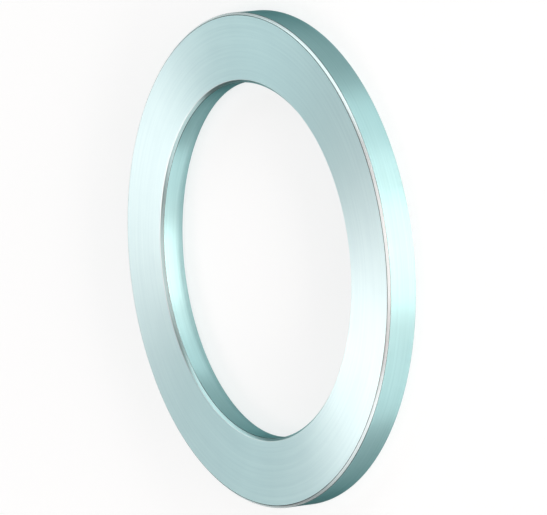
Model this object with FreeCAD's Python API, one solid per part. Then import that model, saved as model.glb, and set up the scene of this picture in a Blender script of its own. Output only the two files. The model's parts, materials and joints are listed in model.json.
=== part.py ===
# Thrust washer: a flat ring of hardened bearing steel that carries the axial load of
# a set of rollers. It is one turned and ground piece, lying on its back face.
#
# The bearing face is on top. Its two edges have small 45 degree chamfers. Below, the
# outer edge is only broken, and the bore runs out through a large fillet, which clears
# the corner of the shaft shoulder that the back face seats against.
#
# Origin: the middle of the bore, in the plane of the back face. +Z runs along the
# bore towards the bearing face. All sizes are in millimetres.

import FreeCAD, Part
import math
import os

# Driving dimensions
outer_diameter = 78.0
bore_diameter = 56.0
thickness = 5.0
face_rim_chamfer = 0.4  # between the bearing face and the outer wall
face_bore_chamfer = 0.45  # between the bearing face and the bore
back_rim_chamfer = 0.1  # between the back face and the outer wall
back_bore_fillet = 2.4  # between the back face and the bore
fillet_limit = 0.75  # the most of a wall that the fillet may take

outer_radius = outer_diameter / 2
bore_radius = bore_diameter / 2
full_turn = 360.0


def point(radius, height):
    """A point of the ring's section, which is drawn in the XZ plane."""
    return FreeCAD.Vector(radius, 0, height)


def fillet_radius():
    """The radius of the back fillet, limited by the walls that it is cut into."""
    bore_wall = thickness - face_bore_chamfer
    back_wall = outer_radius - back_rim_chamfer - bore_radius
    return min(back_bore_fillet, fillet_limit * bore_wall, fillet_limit * back_wall)


def section():
    """One side of the ring cut through its axis, with the fillet as a true arc."""
    radius = fillet_radius()
    short_of_corner = radius * (1 - math.sqrt(0.5))
    back_face_inner_edge = point(bore_radius + radius, 0)
    fillet_middle = point(bore_radius + short_of_corner, short_of_corner)
    bore_wall_foot = point(bore_radius, radius)
    fillet = Part.Arc(back_face_inner_edge, fillet_middle, bore_wall_foot)
    corners = [
        bore_wall_foot,
        point(bore_radius, thickness - face_bore_chamfer),
        point(bore_radius + face_bore_chamfer, thickness),
        point(outer_radius - face_rim_chamfer, thickness),
        point(outer_radius, thickness - face_rim_chamfer),
        point(outer_radius, back_rim_chamfer),
        point(outer_radius - back_rim_chamfer, 0),
        back_face_inner_edge,
    ]
    straights = [Part.LineSegment(a, b).toShape() for a, b in zip(corners, corners[1:])]
    return Part.Face(Part.Wire([fillet.toShape(), *straights]))


def washer():
    """The whole ring: its section turned once round the axis of the bore."""
    centre = FreeCAD.Vector(0, 0, 0)
    axis = FreeCAD.Vector(0, 0, 1)
    return section().revolve(centre, axis, full_turn)


def export(name, shape):
    """Write one piece to parts/ and print its size, volume and state."""
    shape.exportStep(os.path.join("parts", name + ".step"))
    box = shape.BoundBox
    print(
        f"{name}: {box.XLength:.2f} x {box.YLength:.2f} x {box.ZLength:.2f} mm, "
        f"{shape.Volume / 1000:.3f} cm3, {shape.ShapeType}, valid {shape.isValid()}"
    )


os.makedirs("parts", exist_ok=True)
export("washer", washer())
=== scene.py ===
import json
import math

import bpy
from mathutils import Matrix, Vector


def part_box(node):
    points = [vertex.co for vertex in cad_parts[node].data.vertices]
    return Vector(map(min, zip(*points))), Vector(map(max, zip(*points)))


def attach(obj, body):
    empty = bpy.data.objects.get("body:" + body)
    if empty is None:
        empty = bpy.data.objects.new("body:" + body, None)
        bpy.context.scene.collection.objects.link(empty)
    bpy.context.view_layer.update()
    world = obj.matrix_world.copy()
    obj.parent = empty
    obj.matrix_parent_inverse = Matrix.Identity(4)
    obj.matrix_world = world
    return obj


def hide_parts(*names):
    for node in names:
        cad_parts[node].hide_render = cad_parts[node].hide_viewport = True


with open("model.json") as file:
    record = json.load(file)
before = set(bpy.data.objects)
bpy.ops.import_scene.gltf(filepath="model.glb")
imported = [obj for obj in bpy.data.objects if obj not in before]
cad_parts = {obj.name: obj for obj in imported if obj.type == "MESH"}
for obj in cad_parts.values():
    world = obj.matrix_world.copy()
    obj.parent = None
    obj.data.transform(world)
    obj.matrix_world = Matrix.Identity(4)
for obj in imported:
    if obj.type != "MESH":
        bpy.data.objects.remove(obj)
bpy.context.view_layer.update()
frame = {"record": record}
mm = 0.001
nearEnough = 0.001 * mm  # places closer than this are the same


# Small helpers

def linearColor(hexColor):
    # an sRGB hex colour as the linear RGBA that shader sockets take
    channels = [int(hexColor[i:i + 2], 16) / 255 for i in (1, 3, 5)]
    linear = [c / 12.92 if c <= 0.04045 else ((c + 0.055) / 1.055) ** 2.4 for c in channels]
    return (*linear, 1.0)


def addNode(tree, kind, settings=None, inputs=None):
    # one node with its settings; an input is a plain value or another node's output
    node = tree.nodes.new(kind)
    for name, value in (settings or {}).items():
        setattr(node, name, value)
    for name, value in (inputs or {}).items():
        if isinstance(value, bpy.types.NodeSocket):
            tree.links.new(value, node.inputs[name])
        else:
            node.inputs[name].default_value = value
    return node


def newMaterial(name):
    # an empty node material, its tree and its output node
    material = bpy.data.materials.new(name)
    material.use_nodes = True
    material.node_tree.nodes.clear()
    output = material.node_tree.nodes.new("ShaderNodeOutputMaterial")
    return material, material.node_tree, output


def editOnly(piece):
    # only this piece is selected and open in edit mode
    bpy.ops.object.select_all(action="DESELECT")
    piece.select_set(True)
    bpy.context.view_layer.objects.active = piece
    bpy.ops.object.mode_set(mode="EDIT")


def selectVertices(piece, wanted):
    # select the vertices of the open mesh whose place passes the test
    bpy.ops.mesh.select_mode(type="VERT")
    bpy.ops.mesh.select_all(action="DESELECT")
    bpy.ops.object.mode_set(mode="OBJECT")
    for vertex in piece.data.vertices:
        vertex.select = wanted(vertex.co)
    bpy.ops.object.mode_set(mode="EDIT")


# The ring's section is drawn as a plane, its corners are cut, and it is spun round Z

ring = {
    "node": "washer",
    "body": "root",
    "slot": "ground_steel",
    "faceRimChamfer": 0.4 * mm,
    "faceBoreChamfer": 0.45 * mm,
    "backRimChamfer": 0.1 * mm,
    "backBoreFillet": 2.4 * mm,
    "filletSteps": 14,
    "cornerRound": 0.06 * mm,  # how far each sharp corner is rounded
    "cornerSteps": 3,
    "sharpTurn": 30.0,  # degrees; a corner that turns by more than this is sharp
    "turnSteps": 384,
    "mergeDistance": 0.0005 * mm,
}
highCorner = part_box(ring["node"])[1]
ring["outerRadius"] = highCorner.x
ring["height"] = highCorner.z
ring["boreRadius"] = next(
    mount["dims"]["r_mm"] * mm for mount in frame["record"]["mounts"] if mount["name"] == "bore"
)


def near(a, b):
    return abs(a - b) < nearEnough


def bevelSelected(size, steps):
    # one step makes a chamfer, and more make a round fillet
    bpy.ops.mesh.bevel(
        offset=size, offset_type="OFFSET", segments=steps, profile=0.5, affect="VERTICES"
    )


def cutCorner(piece, radius, height, size, steps):
    # one corner of the section
    selectVertices(piece, lambda co: near(co.x, radius) and near(co.z, height))
    bevelSelected(size, steps)


def sharpCorners(piece, turnLimit):
    # places where the section's outline turns by more than the limit
    neighbours = {vertex.index: [] for vertex in piece.data.vertices}
    for edge in piece.data.edges:
        first, second = edge.vertices
        neighbours[first].append(second)
        neighbours[second].append(first)
    corners = []
    for index, (before, after) in neighbours.items():
        here = piece.data.vertices[index].co
        incoming = here - piece.data.vertices[before].co
        outgoing = piece.data.vertices[after].co - here
        if incoming.angle(outgoing) > turnLimit:
            corners.append(here.copy())
    return corners


def drawSection():
    # the section as one upright face on the XZ plane, with its corners cut
    width = ring["outerRadius"] - ring["boreRadius"]
    middle = (ring["boreRadius"] + width / 2, 0, ring["height"] / 2)
    bpy.ops.object.select_all(action="DESELECT")
    bpy.ops.mesh.primitive_plane_add(size=1, location=middle, rotation=(math.pi / 2, 0, 0))
    piece = bpy.context.object
    piece.name = "washerRing"
    bpy.ops.object.mode_set(mode="EDIT")
    bpy.ops.transform.resize(value=(width, 1, ring["height"]))
    bpy.ops.object.mode_set(mode="OBJECT")
    bpy.ops.object.transform_apply(location=True, rotation=True, scale=True)
    editOnly(piece)
    cutCorner(piece, ring["outerRadius"], ring["height"], ring["faceRimChamfer"], 1)
    cutCorner(piece, ring["boreRadius"], ring["height"], ring["faceBoreChamfer"], 1)
    cutCorner(piece, ring["outerRadius"], 0, ring["backRimChamfer"], 1)
    cutCorner(piece, ring["boreRadius"], 0, ring["backBoreFillet"], ring["filletSteps"])
    bpy.ops.object.mode_set(mode="OBJECT")
    corners = sharpCorners(piece, math.radians(ring["sharpTurn"]))
    bpy.ops.object.mode_set(mode="EDIT")
    selectVertices(piece, lambda co: any((co - corner).length < nearEnough for corner in corners))
    bevelSelected(ring["cornerRound"], ring["cornerSteps"])
    return piece


def makeRing():
    piece = drawSection()
    bpy.ops.mesh.select_all(action="SELECT")
    bpy.ops.mesh.delete(type="ONLY_FACE")  # the outline alone is spun
    bpy.ops.mesh.select_all(action="SELECT")
    bpy.ops.mesh.spin(steps=ring["turnSteps"], angle=2 * math.pi, center=(0, 0, 0), axis=(0, 0, 1))
    bpy.ops.mesh.select_all(action="SELECT")
    bpy.ops.mesh.remove_doubles(threshold=ring["mergeDistance"])
    bpy.ops.mesh.normals_make_consistent(inside=False)
    bpy.ops.object.mode_set(mode="OBJECT")
    bpy.ops.object.shade_smooth()

    # the large faces keep their own normals, and the small roundings take up all the turn
    weighting = piece.modifiers.new("weighting", "WEIGHTED_NORMAL")
    weighting.mode = "FACE_AREA"
    weighting.weight = 100
    weighting.keep_sharp = False
    bpy.ops.object.modifier_apply(modifier=weighting.name)
    return piece


# Steel finishes: through-hardened bearing steel, pale grey with a faint blue-green cast.
# Grinding and turning leave fine circular marks, so the gloss is drawn out across them, into
# a bow-tie of light on the flat faces and upright bands on the walls.
# The real marks are about 0.01 to 0.05 mm apart. They are drawn wider and deeper, so that
# they can just be seen.

# The finishes are one steel in lit and shaded copies. The face and the outer chamfer are painted
# lighter, as painted light. The walls and the bore chamfer are painted darker, as painted shade. The
# corner roundings are painted dark grey.
finishes = {
    "groundSteelFace": {  # pale and satin, painted lighter than the steel as painted light
        "color": "#e2f2f3",
        "shade": "#dbecee",
        "edgeTint": "#a0dede",
        "roughness": (0.40, 0.43),
        "anisotropic": 0.72,
        "markSpacing": 0.45 * mm,
        "markDepth": 0.007 * mm,
    },
    "turnedSteelWall": {  # painted shade: darker than the face, and darkest seen along it through its dark edge tint
        "color": "#9ec2c3",
        "shade": "#95b9ba",
        "edgeTint": "#2c6060",
        "roughness": (0.41, 0.44),
        "anisotropic": 0.9,
        "markSpacing": 0.40 * mm,
        "markDepth": 0.007 * mm,
    },
    "turnedSteelEdge": {  # the bore's chamfer, painted darker than the face as shade, between the face and the wall in tone
        "color": "#c6dcdc",
        "shade": "#bcd4d4",
        "edgeTint": "#a0c8c8",
        "roughness": (0.28, 0.34),
        "anisotropic": 0.6,
        "markSpacing": 0.12 * mm,
        "markDepth": 0.002 * mm,
    },
    "paintedHighlightSteelEdge": {  # the outer chamfer and the bore chamfer's upper edge, nearly white: a painted highlight over the lamps' real one
        "color": "#f1f6f6",
        "shade": "#e8efef",
        "edgeTint": "#d8e8e8",
        "roughness": (0.34, 0.40),
        "anisotropic": 0.5,
        "markSpacing": 0.12 * mm,
        "markDepth": 0.002 * mm,
    },
    "darkGreySteelCorner": {  # the other roundings beside the chamfers, painted dark grey so that they show as thin grey lines
        "color": "#6c7a7a",
        "shade": "#5f6d6d",
        "edgeTint": "#a0b0b0",
        "roughness": (0.22, 0.28),
        "anisotropic": 0.3,
        "markSpacing": 0.12 * mm,
        "markDepth": 0.001 * mm,
    },
}

# How the marks and faint clouds are drawn on every finish
lay = {
    "heightShare": 1.6,  # across the marks, height counts this much against radius
    "turnRadius": 1.5,  # noise cells from the axis: a mark fades and returns about 9 times a turn
    "markDetail": 3.0,
    "markGrain": 0.6,
    "cloudSize": 9 * mm,
    "cloudDetail": 2.0,
    "cloudGrain": 0.5,
    "cloudShare": 0.6,  # what the clouds add to the marks
    "toneLow": 0.6,  # the sum that gives the full colour
    "toneHigh": 1.0,  # the sum that gives the full shade
    "glossTurn": 0.25,  # a quarter turn, which draws the gloss out across the marks
}


def makeSteel(name):
    finish = finishes[name]
    material, tree, output = newMaterial(name)
    place = addNode(tree, "ShaderNodeTexCoord").outputs["Object"]
    flat = addNode(
        tree, "ShaderNodeVectorMath", {"operation": "MULTIPLY"}, {0: place, 1: (1, 1, 0)}
    ).outputs["Vector"]
    outward = addNode(
        tree, "ShaderNodeVectorMath", {"operation": "NORMALIZE"}, {0: flat}
    ).outputs["Vector"]
    along = addNode(
        tree, "ShaderNodeVectorMath", {"operation": "CROSS_PRODUCT"}, {0: (0, 0, 1), 1: outward}
    ).outputs["Vector"]
    radius = addNode(
        tree, "ShaderNodeVectorMath", {"operation": "LENGTH"}, {0: flat}
    ).outputs["Value"]
    height = addNode(tree, "ShaderNodeSeparateXYZ", None, {"Vector": place}).outputs["Z"]

    # distance across the marks, on the flat faces, the walls and the chamfers alike
    across = addNode(
        tree, "ShaderNodeMath", {"operation": "MULTIPLY_ADD"},
        {0: height, 1: lay["heightShare"], 2: radius},
    ).outputs["Value"]
    markCount = addNode(
        tree, "ShaderNodeMath", {"operation": "DIVIDE"}, {0: across, 1: finish["markSpacing"]}
    ).outputs["Value"]
    upward = addNode(tree, "ShaderNodeCombineXYZ", None, {"Z": markCount}).outputs["Vector"]
    markPlace = addNode(
        tree, "ShaderNodeVectorMath", {"operation": "MULTIPLY_ADD"},
        {0: outward, 1: (lay["turnRadius"], lay["turnRadius"], 0), 2: upward},
    ).outputs["Vector"]
    marks = addNode(
        tree, "ShaderNodeTexNoise", {"noise_dimensions": "3D"},
        {"Vector": markPlace, "Scale": 1.0, "Detail": lay["markDetail"], "Roughness": lay["markGrain"]},
    ).outputs["Fac"]
    cloud = addNode(
        tree, "ShaderNodeTexNoise", {"noise_dimensions": "3D"},
        {
            "Vector": place, "Scale": 1 / lay["cloudSize"],
            "Detail": lay["cloudDetail"], "Roughness": lay["cloudGrain"],
        },
    ).outputs["Fac"]

    # the tone runs from 0, the colour, to 1, the shade, and the shade is a little rougher
    shared = addNode(
        tree, "ShaderNodeMath", {"operation": "MULTIPLY_ADD"},
        {0: cloud, 1: lay["cloudShare"], 2: marks},
    ).outputs["Value"]
    tone = addNode(
        tree, "ShaderNodeMapRange", None,
        {"Value": shared, "From Min": lay["toneLow"], "From Max": lay["toneHigh"]},
    ).outputs["Result"]
    color = addNode(
        tree, "ShaderNodeMix", {"data_type": "RGBA"},
        {"Factor": tone, "A": linearColor(finish["color"]), "B": linearColor(finish["shade"])},
    ).outputs["Result"]
    roughness = addNode(
        tree, "ShaderNodeMapRange", None,
        {"Value": tone, "To Min": finish["roughness"][0], "To Max": finish["roughness"][1]},
    ).outputs["Result"]
    bump = addNode(
        tree, "ShaderNodeBump", None,
        {"Strength": 1.0, "Distance": finish["markDepth"], "Height": marks},
    ).outputs["Normal"]
    shader = addNode(
        tree, "ShaderNodeBsdfPrincipled", None,
        {
            "Base Color": color, "Metallic": 1.0, "Roughness": roughness,
            "Normal": bump, "Tangent": along,
            "Anisotropic": finish["anisotropic"], "Anisotropic Rotation": lay["glossTurn"],
            "Specular Tint": linearColor(finish["edgeTint"]),
        },
    )
    tree.links.new(shader.outputs["BSDF"], output.inputs["Surface"])
    return material


# How far up a face's normal points, from 0, level, to 1, upright
flatNormal = 0.999  # at least this on a flat face
wallNormal = 0.05  # less than this on the walls and everything that looks down
chamferNormal = math.sqrt(0.5)
chamferSlack = 0.02


def finishOf(face):
    # both flat faces are ground, and the walls and back edges are as turned; the roundings beside the
    # chamfers are painted dark grey, but the one between face and bore chamfer is painted nearly white,
    # as a painted highlight
    if abs(face.normal.z) > flatNormal:
        return "groundSteelFace"
    if face.normal.z < wallNormal:
        return "turnedSteelWall"
    outer = face.center.to_2d().length > (ring["boreRadius"] + ring["outerRadius"]) / 2
    if abs(face.normal.z - chamferNormal) > chamferSlack:
        # the rounding at the bore chamfer's upper edge takes the painted highlight
        highlightRounding = face.normal.z > chamferNormal and not outer
        return "paintedHighlightSteelEdge" if highlightRounding else "darkGreySteelCorner"
    return "paintedHighlightSteelEdge" if outer else "turnedSteelEdge"


def dressRing(piece):
    names = list(finishes)
    for name in names:
        piece.data.materials.append(makeSteel(name))
    for face in piece.data.polygons:
        face.material_index = names.index(finishOf(face))


# The floor is a matt white painted board. The rays that the camera sees, straight or in the
# steel, find it partly or wholly plain white, and the rest of it keeps the ring's shadow.

floor = {
    "name": "paleFloor",
    "radius": 6.0,
    "sides": 96,
    "color": "#fafbfb",
    "glow": 0.7,  # the share of plain white, out to farFrom
    "glowFar": 1.0,  # the share from farTo outwards
    "farFrom": 0.35,  # metres from the axis, as farTo is
    "farTo": 1.1,
}


def makeFloor():
    bpy.ops.object.select_all(action="DESELECT")
    bpy.ops.mesh.primitive_circle_add(
        vertices=floor["sides"], radius=floor["radius"], fill_type="NGON"
    )
    piece = bpy.context.object
    piece.name = floor["name"]
    material, tree, output = newMaterial("paintedBoard")
    paint = addNode(
        tree, "ShaderNodeBsdfDiffuse", None, {"Color": linearColor(floor["color"])}
    ).outputs["BSDF"]
    glow = addNode(
        tree, "ShaderNodeEmission", None, {"Color": (1, 1, 1, 1), "Strength": 1.0}
    ).outputs["Emission"]
    rays = addNode(tree, "ShaderNodeLightPath").outputs
    seen = addNode(
        tree, "ShaderNodeMath", {"operation": "ADD"},
        {0: rays["Is Camera Ray"], 1: rays["Is Glossy Ray"]},
    ).outputs["Value"]
    seen = addNode(
        tree, "ShaderNodeMath", {"operation": "ADD"}, {0: seen, 1: rays["Is Transmission Ray"]}
    ).outputs["Value"]
    place = addNode(tree, "ShaderNodeTexCoord").outputs["Object"]
    reach = addNode(
        tree, "ShaderNodeVectorMath", {"operation": "LENGTH"}, {0: place}
    ).outputs["Value"]
    white = addNode(
        tree, "ShaderNodeMapRange", None,
        {
            "Value": reach, "From Min": floor["farFrom"], "From Max": floor["farTo"],
            "To Min": floor["glow"], "To Max": floor["glowFar"],
        },
    ).outputs["Result"]
    share = addNode(
        tree, "ShaderNodeMath", {"operation": "MULTIPLY"}, {0: seen, 1: white}
    ).outputs["Value"]
    mix = addNode(tree, "ShaderNodeMixShader", None, {"Fac": share})
    tree.links.new(paint, mix.inputs[1])
    tree.links.new(glow, mix.inputs[2])
    tree.links.new(mix.outputs["Shader"], output.inputs["Surface"])
    piece.data.materials.append(material)


# Lamps. Azimuths are counter-clockwise seen from above, from the side where the camera
# stands. A panel's brightness is that of its own surface, where 1 is plain white.
# The four low panels make the bright bands on the walls, and the overhead one makes the
# bow-tie on the face. The high front and side ones light the chamfers, the rear ones fill in
# the face, and the top one adds a little light from above.
# The low and overhead panels are slightly warm and the side and rear ones slightly cool,
# which gives the steel whiter lights and greener darks.
lamps = {
    "frontPanel": {
        "azimuth": -2, "elevation": 8, "distance": 1.2, "width": 1.1, "height": 0.3,
        "brightness": 11.8, "color": "#ffeeea",
    },
    "frontWidePanel": {
        "azimuth": -2, "elevation": 8, "distance": 1.25, "width": 2.2, "height": 0.3,
        "brightness": 11.8, "color": "#ffeeea",
    },
    "leftPanel": {
        "azimuth": 300, "elevation": 10, "distance": 1.2, "width": 0.8, "height": 0.35,
        "brightness": 8.2, "color": "#fff6f4",
    },
    "rightPanel": {
        "azimuth": 50, "elevation": 10, "distance": 1.2, "width": 0.8, "height": 0.35,
        "brightness": 7.1, "color": "#fffbfa",
    },
    "highFrontPanel": {
        "azimuth": 0, "elevation": 58, "distance": 1.2, "width": 1.5, "height": 0.35,
        "brightness": 0.75, "color": "#ffffff",
    },
    "leftSidePanel": {
        "azimuth": 264, "elevation": 33, "distance": 1.2, "width": 1.4, "height": 0.7,
        "brightness": 0.95, "color": "#f4fdfe",
    },
    "rightSidePanel": {
        "azimuth": 104, "elevation": 34, "distance": 1.2, "width": 2.1, "height": 0.75,
        "brightness": 1.3, "color": "#eefdfe",
    },
    "topPanel": {
        "azimuth": 0, "elevation": 82, "distance": 1.3, "width": 0.8, "height": 0.8,
        "brightness": 0.8, "color": "#ffffff",
    },
    "overheadPanel": {
        "azimuth": 207, "elevation": 57, "distance": 1.0, "width": 0.5, "height": 0.5,
        "brightness": 3.5, "color": "#ffeeec",
    },
    "rearPanel": {
        "azimuth": 170, "elevation": 22, "distance": 1.2, "width": 0.8, "height": 0.6,
        "brightness": 0.67, "color": "#ecfeff",
    },
    "rearTallPanel": {
        "azimuth": 182, "elevation": 35, "distance": 1.22, "width": 0.5, "height": 1.2,
        "brightness": 0.36, "color": "#ecfeff",
    },
}
cameraSide = -90.0  # the camera stands on the -Y side


def direction(azimuth, elevation):
    # the way out to a lamp or the camera, one metre long
    turn = math.radians(cameraSide + azimuth)
    rise = math.radians(elevation)
    return Vector((math.cos(turn) * math.cos(rise), math.sin(turn) * math.cos(rise), math.sin(rise)))


def makeLamps():
    for name, lamp in lamps.items():
        data = bpy.data.lights.new(name, "AREA")
        data.shape = "RECTANGLE"
        data.size = lamp["width"]
        data.size_y = lamp["height"]
        data.color = linearColor(lamp["color"])[:3]
        data.energy = lamp["brightness"] * math.pi * lamp["width"] * lamp["height"]
        piece = bpy.data.objects.new(name, data)
        bpy.context.scene.collection.objects.link(piece)
        towards = direction(lamp["azimuth"], lamp["elevation"])
        piece.location = towards * lamp["distance"]
        piece.rotation_euler = towards.to_track_quat("Z", "Y").to_euler()
        piece.visible_camera = False


worldColor = "#373838"


def makeWorld():
    # a dim even light from all round
    world = bpy.data.worlds.new("studio")
    bpy.context.scene.world = world
    world.use_nodes = True
    background = world.node_tree.nodes["Background"]
    background.inputs["Color"].default_value = linearColor(worldColor)
    background.inputs["Strength"].default_value = 1.0


# The camera looks down on the ring and is turned on its side, which shows the lying ring
# as the photo shows it standing
view = {
    "azimuth": 0.0,
    "elevation": 31.35,
    "roll": -96.4,
    "distance": 1080.2 * mm,
    "aimRight": 3.13 * mm,  # from the middle of the ring's face to the middle of the picture
    "aimUp": 0.52 * mm,
    "lens": 453.9,  # in millimetres, as the sensor is
    "sensorWidth": 36.0,
    "clipEnd": 100.0,
}


def makeCamera():
    data = bpy.data.cameras.new("photoCamera")
    data.lens = view["lens"]
    data.sensor_width = view["sensorWidth"]
    data.clip_end = view["clipEnd"]
    piece = bpy.data.objects.new("photoCamera", data)
    bpy.context.scene.collection.objects.link(piece)
    towards = direction(view["azimuth"], view["elevation"])
    level = towards.to_track_quat("Z", "Y").to_matrix()
    turned = level @ Matrix.Rotation(math.radians(view["roll"]), 3, "Z")
    aim = Vector((0, 0, ring["height"]))
    aim += turned.col[0] * view["aimRight"]
    aim += turned.col[1] * view["aimUp"]
    piece.matrix_world = Matrix.Translation(aim + towards * view["distance"]) @ turned.to_4x4()
    bpy.context.scene.camera = piece


washer = makeRing()
print("ring modelled:", len(washer.data.polygons), "faces")

dressRing(washer)
print("finishes:", ", ".join(finishes))

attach(washer, ring["body"])
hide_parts(ring["node"])

makeFloor()
makeLamps()
makeWorld()
print("floor, world and", len(lamps), "lamps in place")

makeCamera()
bpy.context.scene.view_settings.view_transform = "Standard"
print("camera in place")
